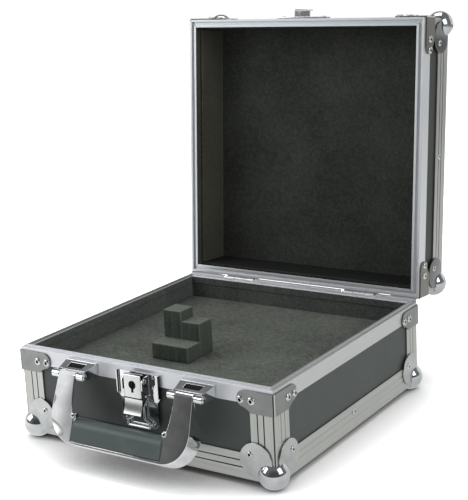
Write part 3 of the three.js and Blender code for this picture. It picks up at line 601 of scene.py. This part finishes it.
def addPetal(bm, across, up):
    out = across.cross(up)
    turned = Matrix((across, up, out)).transposed().to_4x4()
    before = set(bm.verts)
    disc = bmesh.ops.create_circle(bm, cap_ends=True, segments=petal["sides"], radius=petal["radius"])
    face = disc["verts"][0].link_faces[0]
    lifted = bmesh.ops.extrude_face_region(bm, geom=[face])
    top = [item for item in lifted["geom"] if isinstance(item, bmesh.types.BMVert)]
    bmesh.ops.translate(bm, vec=(0, 0, petal["thick"]), verts=top)
    edges = [edge for edge in bm.edges if all(vert in top for vert in edge.verts)]
    bmesh.ops.bevel(bm, geom=edges, offset=petal["edge"], affect="EDGES", segments=petal["steps"],
                    profile=0.5, material=-1)
    centre = (across + up) * petal["inset"] + out * petal["gap"]
    bmesh.ops.transform(bm, matrix=Matrix.Translation(centre) @ turned, verts=addedSince(before, bm))


for corner, place in cornerPlaces.items():
    for half, turn in halfPlaces.items():
        shell = cutBall(stands=half == "base")
        bring(shell, f"{half}_ball_{corner}_shell", [ballChrome], half, turn @ place,
              replaced=[f"{half}_ball_{corner}"])
        petals = bmesh.new()
        addPetal(petals, x, z)  # on the front or back
        addPetal(petals, z, y)  # on the side
        addPetal(petals, y, x)  # on the bottom or top
        bring(petals, f"{half}_ball_{corner}_petals", [petalFinish[half]], half, turn @ place)
print("ball corners made")


# The ways a rivet's head can look
frontward, backward, downward = (0, -1, 0), (0, 1, 0), (0, 0, -1)
leftward, rightward = (-1, 0, 0), (1, 0, 0)

# The head of a hollow rivet: half its outline, from its rim to the middle of its hole, painted in shade
rivet = {"profile": [(3.8, 0), (3.7, 0.45), (3.15, 1.05), (2.3, 1.45), (1.65, 1.45), (1.4, 1.1),
                     (1.35, 0.4), (0, 0.35)], "hole": 1.45, "steps": 20, "weld": 0.0001, "smooth": 50}


def addRivet(bm, spot, way, size):
    before = set(bm.verts)
    points = [bm.verts.new((out * size, 0, up * size)) for out, up in rivet["profile"]]
    edges = [bm.edges.new(ends) for ends in zip(points, points[1:])]
    bmesh.ops.spin(bm, geom=points + edges, cent=(0, 0, 0), axis=z, angle=math.tau, steps=rivet["steps"],
                   use_merge=True)
    bmesh.ops.remove_doubles(bm, verts=addedSince(before, bm), dist=rivet["weld"])
    new = addedSince(before, bm)
    for face in {linked for vert in new for linked in vert.link_faces}:
        # Faces in the hole get the painted shade
        if max(vert.co.xy.length for vert in face.verts) < rivet["hole"] * size:
            face.material_index = 1
    turned = z.rotation_difference(Vector(way)).to_matrix().to_4x4()
    bmesh.ops.transform(bm, matrix=Matrix.Translation(spot) @ turned, verts=new)


# Rivets in one piece; each spot is a place and the way the head there looks
def rivets(name, spots, body, place=unmoved, size=1.0):
    bm = bmesh.new()
    for spot, way in spots:
        addRivet(bm, spot, way, size)
    return bring(bm, name, [rivetSteel, dark], body, place, rivet["smooth"])


def mirrorPair(aside, out, up, way):  # a spot to the right of the middle, and its mirror image
    return [((mid + side * aside, out, up), (side * way[0], way[1], way[2])) for side in (-1, 1)]


bracketSpots = {"along": (26.6, 40.1), "under": 14.7, "face": -1.8, "size": 1.25}
petalSpots = {"along": 31.5, "up": 30.5, "face": -1.9, "size": 1.05}
rimHeights = {"base": case["rimTop"], "lid": case["lidTop"] - case["lidPlane"]}
for corner, place in cornerPlaces.items():
    for half, turn in halfPlaces.items():
        up, face = rimHeights[half] - bracketSpots["under"], bracketSpots["face"]
        spots = [((along, face, up), frontward) for along in bracketSpots["along"]]
        spots += [((face, along, up), leftward) for along in bracketSpots["along"]]
        rivets(f"{half}_bracket_rivets_{corner}", spots, half, turn @ place, bracketSpots["size"])
        along, up, face = petalSpots["along"], petalSpots["up"], petalSpots["face"]
        spots = [((along, face, up), frontward), ((face, along, up), leftward), ((along, up, face), downward)]
        rivets(f"{half}_petal_rivets_{corner}", spots, half, turn @ place, petalSpots["size"])

# One rivet on each side of a half, in the middle of its edge angle
edgeRivetUp = {"base": 21.6, "lid": 19}
for half, turn in halfPlaces.items():
    up = edgeRivetUp[half]
    spots = [((mid, 0, up), frontward), ((mid, case["depth"], up), backward)]
    spots += [((0, case["depth"] / 2, up), leftward), ((case["width"], case["depth"] / 2, up), rightward)]
    rivets(f"{half}_edge_rivets", spots, half, turn)

# Pivot heads on the latch's cheeks, rivets of its back plate and of the keeper
pivotHeads = {"aside": 14.4, "out": -9.9, "up": 94.6, "size": 0.85}
plateRivets = {"aside": 19, "out": -1.8, "up": (85.7, 44), "size": 0.6}
keeperRivets = {"aside": 30, "out": -2.3, "up": 116.4, "size": 0.75}
spots = mirrorPair(pivotHeads["aside"], pivotHeads["out"], pivotHeads["up"], rightward)
rivets("latch_pivot_heads", spots, "base", size=pivotHeads["size"])
spots = []
for up in plateRivets["up"]:
    spots += mirrorPair(plateRivets["aside"], plateRivets["out"], up, frontward)
rivets("latch_rivets", spots, "base", size=plateRivets["size"])
spots = mirrorPair(keeperRivets["aside"], keeperRivets["out"], keeperRivets["up"], frontward)
rivets("keeper_rivets", spots, "lid", lidTurn, keeperRivets["size"])

# Pin heads at both ends of the mounts' barrels, and studs where the grip is held in the swung-out frame
handlePins = {"inner": 58.5, "outer": 103.5, "out": -24, "up": 92.5, "size": 0.95}
handleStuds = {"aside": 63.2, "face": -5, "drop": 43.1, "swing": 20, "size": 0.8}
spots = mirrorPair(handlePins["inner"], handlePins["out"], handlePins["up"], leftward)
spots += mirrorPair(handlePins["outer"], handlePins["out"], handlePins["up"], rightward)
rivets("handle_pin_heads", spots, "base", size=handlePins["size"])
swing = Matrix.Translation((0, handlePins["out"], handlePins["up"])) @ tilted(-handleStuds["swing"])
spots = mirrorPair(handleStuds["aside"], handleStuds["face"], -handleStuds["drop"], frontward)
rivets("handle_studs", spots, "handle", swing, handleStuds["size"])


# A thin plate of painted shade; rounding is a share of its thickness
def shadePlate(name, middle, size, tilt, body, rounding=0.3):
    bm = bmesh.new()
    bmesh.ops.create_cube(bm, size=1)
    bmesh.ops.scale(bm, vec=size, verts=bm.verts)
    bmesh.ops.bevel(bm, geom=bm.edges[:], offset=min(size) * rounding, affect="EDGES", segments=2,
                    profile=0.5, material=-1)
    return bring(bm, name, [dark], body, Matrix.Translation(middle) @ tilted(tilt))


# Painted shade in the seam of the latch lever's step and on the pocket floors of the handle mounts' slots
seam = {"out": -13.15, "up": 74.2, "size": (24.2, 0.5, 1.1)}
pocket = {"aside": 81, "out": -10.2, "up": 97.6, "size": (25, 9.5, 0.6), "slope": 15}
shadePlate("latch_lever_seam_shade", (mid, seam["out"], seam["up"]), seam["size"], 0, "lever")
for side, sign in (("left", -1), ("right", 1)):
    middle = (mid + sign * pocket["aside"], pocket["out"], pocket["up"])
    shadePlate(f"mount_pocket_shade_{side}", middle, pocket["size"], pocket["slope"], "base")

# Three rivets in each hinge leaf, under the pin in the base and over it in the shut lid
hingeRivets = {"inset": 83, "apart": 17, "face": 351.8, "fromPin": 10.6, "size": 0.65}
for half, turn, sign in (("base", unmoved, -1), ("lid", lidTurn, 1)):
    up = case["pinZ"] + sign * hingeRivets["fromPin"]
    spots = []
    for step in (-1, 0, 1):
        aside = mid - hingeRivets["inset"] + step * hingeRivets["apart"]
        spots += mirrorPair(aside, hingeRivets["face"], up, backward)
    rivets(f"{half}_hinge_rivets", spots, half, turn, hingeRivets["size"])
print("rivets made")


# Rounded aluminium strips that close the gap between the hinges: an upright wall and a quarter round
strip = {"spans": ((1, 57.5), (108.5, 241.5), (292.5, 349)), "radius": 3.2, "foot": 103.2, "wall": 0.5,
         "turn": 88, "steps": 8}
strips = bmesh.new()
for start, end in strip["spans"]:
    before = set(strips.verts)
    low = strips.verts.new((start, case["pinY"] - strip["radius"], strip["foot"]))
    high = strips.verts.new((start, case["pinY"] - strip["radius"], case["pinZ"]))
    strips.edges.new((low, high))
    bmesh.ops.spin(strips, geom=[high], cent=(start, case["pinY"], case["pinZ"]), axis=x,
                   angle=-math.radians(strip["turn"]), steps=strip["steps"])
    outline = [edge for edge in strips.edges if not set(edge.verts) & before]
    swept = bmesh.ops.extrude_edge_only(strips, edges=outline)
    farEnd = [item for item in swept["geom"] if isinstance(item, bmesh.types.BMVert)]
    bmesh.ops.translate(strips, vec=(end - start, 0, 0), verts=farEnd)
bmesh.ops.recalc_face_normals(strips, faces=strips.faces)
bmesh.ops.solidify(strips, geom=strips.faces[:], thickness=strip["wall"])
bring(strips, "hinge_strips", [stripSteel], "base")
print("hinge strips made")


# A block with rounded edges. Edges over longShare of its least side are cut, which nets its flat faces
def foamBlock(low, high, look):
    bm = bmesh.new()
    bmesh.ops.create_cube(bm, size=1)
    size = Vector(high) - Vector(low)
    bmesh.ops.scale(bm, vec=size, verts=bm.verts)
    bmesh.ops.translate(bm, vec=(Vector(low) + Vector(high)) / 2, verts=bm.verts)
    bmesh.ops.bevel(bm, geom=bm.edges[:], offset=look["edge"], affect="EDGES", segments=3, profile=0.5,
                    material=-1)
    longEdges = [edge for edge in bm.edges if edge.calc_length() > min(size) * look["longShare"]]
    bmesh.ops.subdivide_edges(bm, edges=longEdges, cuts=look["cuts"], use_grid_fill=True)
    return bm


bed = {"low": (9.1, 9.1, 9.1), "high": (340.9, 340.9, 78), "edge": 2.5, "longShare": 0.4, "cuts": 20}
bedPad = foamBlock(bed["low"], bed["high"], bed)
bring(bedPad, "foam_bed_pad", [bedFoam], "base", replaced=["base_foam"])

# Four cubes stand two by two: the front two are one low block, and the tallest is at the back left
cubes = {"x": 120, "y": 96.5, "side": 26.5, "gap": 0.1, "floor": 78.3, "front": 19.5, "right": 41.5,
         "left": 53.5, "edge": 1.3, "longShare": 0.4, "cuts": 4}
gap = cubes["gap"]
middleX, middleY = cubes["x"] + cubes["side"], cubes["y"] + cubes["side"]
endX, endY = middleX + cubes["side"], middleY + cubes["side"]
blocks = {"front": (cubes["x"], cubes["y"], endX, middleY - gap),
          "right": (middleX + gap, middleY + gap, endX, endY),
          "left": (cubes["x"], middleY + gap, middleX - gap, endY)}
columns = bmesh.new()
for name, (lowX, lowY, highX, highY) in blocks.items():
    top = cubes["floor"] + cubes[name]
    column = meshOf(foamBlock((lowX, lowY, cubes["floor"]), (highX, highY, top), cubes), "column")
    columns.from_mesh(column)
    bpy.data.meshes.remove(column)
bring(columns, "foam_cube_stack", [cubeFoam], "base", replaced=["foam_cubes"])


# The lining's side walls get its lit copy and its front and back walls its shaded copy: painted light and
# shade
def liningFaces(face):  # 2 on the lining's walls at the sides, 1 on its walls at the front and back
    if abs(face.normal.x) > facing["across"]:
        return 2
    lidUp = lidTurn.to_3x3() @ z
    return int(abs(face.normal.dot(lidUp)) < facing["across"])


lining = softened("lid_foam", [liningFoam, shadedLiningWall, litLiningSide], edge=1.5, segments=3, pick=liningFaces)
print("foam made")


# The photo's camera: degrees, its place in metres, focal length and frame in pixels, sensor in millimetres
shot = {"azimuth": 123.62, "elevation": 13.98, "roll": -2.94, "place": (0.803, -1.1709, 0.56),
        "focal": 1212.1, "frame": 500, "shiftX": -0.008, "shiftY": -0.0014, "sensor": 36, "clipEnd": 50}
azimuth, elevation, roll = (math.radians(shot[name]) for name in ("azimuth", "elevation", "roll"))
ahead = Vector((math.cos(azimuth) * math.cos(elevation), math.sin(azimuth) * math.cos(elevation),
                -math.sin(elevation)))
level = ahead.cross(z).normalized()
lift = level.cross(ahead)
across = level * math.cos(roll) + lift * math.sin(roll)
upward = lift * math.cos(roll) - level * math.sin(roll)
aimed = Matrix((across, upward, -ahead)).transposed().to_4x4()
camera = link("photoCamera", bpy.data.cameras.new("photoCamera"))
camera.matrix_world = Matrix.Translation(shot["place"]) @ aimed
camera.data.sensor_width = shot["sensor"]
camera.data.lens = shot["focal"] / shot["frame"] * shot["sensor"]
camera.data.shift_x = shot["shiftX"]
camera.data.shift_y = shot["shiftY"]
camera.data.clip_end = shot["clipEnd"]
bpy.context.scene.camera = camera

# The camera sees a white floor, shaded where the case is near. Metal sees it glow within white metres of
# whiteCentre, and more so on the left
floorLook = {"size": 12, "color": (0.9, 0.9, 0.9, 1), "seen": 2.05, "reach": 0.14, "deep": 0.95,
             "samples": 8, "glossy": 0.5, "whiteCentre": (-0.3, 0.6, 0), "white": (1.5, 2.3), "far": 0.12,
             "left": 0.9, "leftFade": 0.3}
white = (1, 1, 1, 1)
ground = bmesh.new()
bmesh.ops.create_grid(ground, x_segments=1, y_segments=1, size=floorLook["size"] / 2)
groundMesh = meshOf(ground, "studioFloor")
floor = link("studioFloor", groundMesh)

f = Finish("studioFloor")
isCamera = f.add("ShaderNodeLightPath", out="Is Camera Ray")
isGlossy = f.add("ShaderNodeLightPath", out="Is Glossy Ray")
spot = f.add("ShaderNodeTexCoord", out="Object")
fromCentre = {0: spot, 1: floorLook["whiteCentre"]}
away = f.add("ShaderNodeVectorMath", {"operation": "DISTANCE"}, fromCentre, "Value")
toLeft = (f.split(spot, "X") * -1).over(0, floorLook["leftFade"])
glow = 1 - away.over(*floorLook["white"]) * (1 - floorLook["far"])
glow = glow + toLeft * glow * floorLook["left"]
plain = f.add("ShaderNodeBsdfDiffuse", inputs={"Color": floorLook["color"]})
reach = {"Distance": floorLook["reach"]}
clear = f.add("ShaderNodeAmbientOcclusion", {"samples": floorLook["samples"]}, reach, "AO")
shown = (clear ** floorLook["deep"]) * floorLook["seen"]
grey = f.add("ShaderNodeCombineColor", inputs={0: shown, 1: shown, 2: shown})
bright = f.add("ShaderNodeBsdfDiffuse", inputs={"Color": grey})
mirrored = f.add("ShaderNodeEmission", inputs={"Color": white, "Strength": glow})
lit = f.add("ShaderNodeMixShader", inputs={0: isCamera, 1: plain, 2: bright})
both = f.add("ShaderNodeMixShader", inputs={0: isGlossy * floorLook["glossy"], 1: lit, 2: mirrored})
f.add("ShaderNodeOutputMaterial", inputs={"Surface": both})
groundMesh.materials.append(f.material)

# White to the camera. Metal sees the white backdrop up to backTop, and over it and before it a dim room
worldLook = {"diffuse": 0.6, "backTop": (0.42, 0.56), "backEnd": (-0.3, -0.1), "room": 0.24,
             "deep": (0.5, 0.85), "deepest": 0.1}
world = bpy.data.worlds.new("studio")
world.use_nodes = True
bpy.context.scene.world = world
w = Finish("studio", world.node_tree)
isCamera = w.add("ShaderNodeLightPath", out="Is Camera Ray")
isGlossy = w.add("ShaderNodeLightPath", out="Is Glossy Ray")
toward = w.add("ShaderNodeTexCoord", out="Generated")
roomSide = Vector((-ahead.x, -ahead.y, 0)).normalized()
faces = w.add("ShaderNodeVectorMath", {"operation": "DOT_PRODUCT"}, {0: toward, 1: tuple(roomSide)}, "Value")
height = w.split(toward, "Z")
paper = (1 - faces.over(*worldLook["backEnd"])) * (1 - height.over(*worldLook["backTop"]))
dim = worldLook["room"] - faces.over(*worldLook["deep"]) * (worldLook["room"] - worldLook["deepest"])
shine = paper + (1 - paper) * dim
toMetal = isGlossy * (1 - isCamera) * shine
toRest = (1 - isCamera) * (1 - isGlossy) * worldLook["diffuse"]
sky = w.add("ShaderNodeBackground", inputs={"Color": white, "Strength": isCamera + toMetal + toRest})
w.add("ShaderNodeOutputWorld", inputs={"Surface": sky})

lamps = {"keyLamp": {"place": (-1.7, -1.3, 1.3), "aim": (0, 0, 0.1), "size": (1.6, 1.5), "power": 26},
         "fillLamp": {"place": (1.7, -0.2, 1.1), "aim": (0, 0, 0.1), "size": (1.0, 1.3), "power": 10},
         "topLamp": {"place": (-0.3, 0.6, 2.3), "aim": (0, 0, 0), "size": (1.4, 1.4), "power": 14}}
for name, look in lamps.items():
    data = bpy.data.lights.new(name, "AREA")
    data.shape = "RECTANGLE"
    data.size, data.size_y = look["size"]
    data.energy = look["power"]
    lamp = link(name, data)
    lamp.location = look["place"]
    lamp.rotation_euler = (Vector(look["aim"]) - Vector(look["place"])).to_track_quat("-Z", "Y").to_euler()
bpy.context.scene.view_settings.view_transform = "Standard"
print("camera, floor and light made")
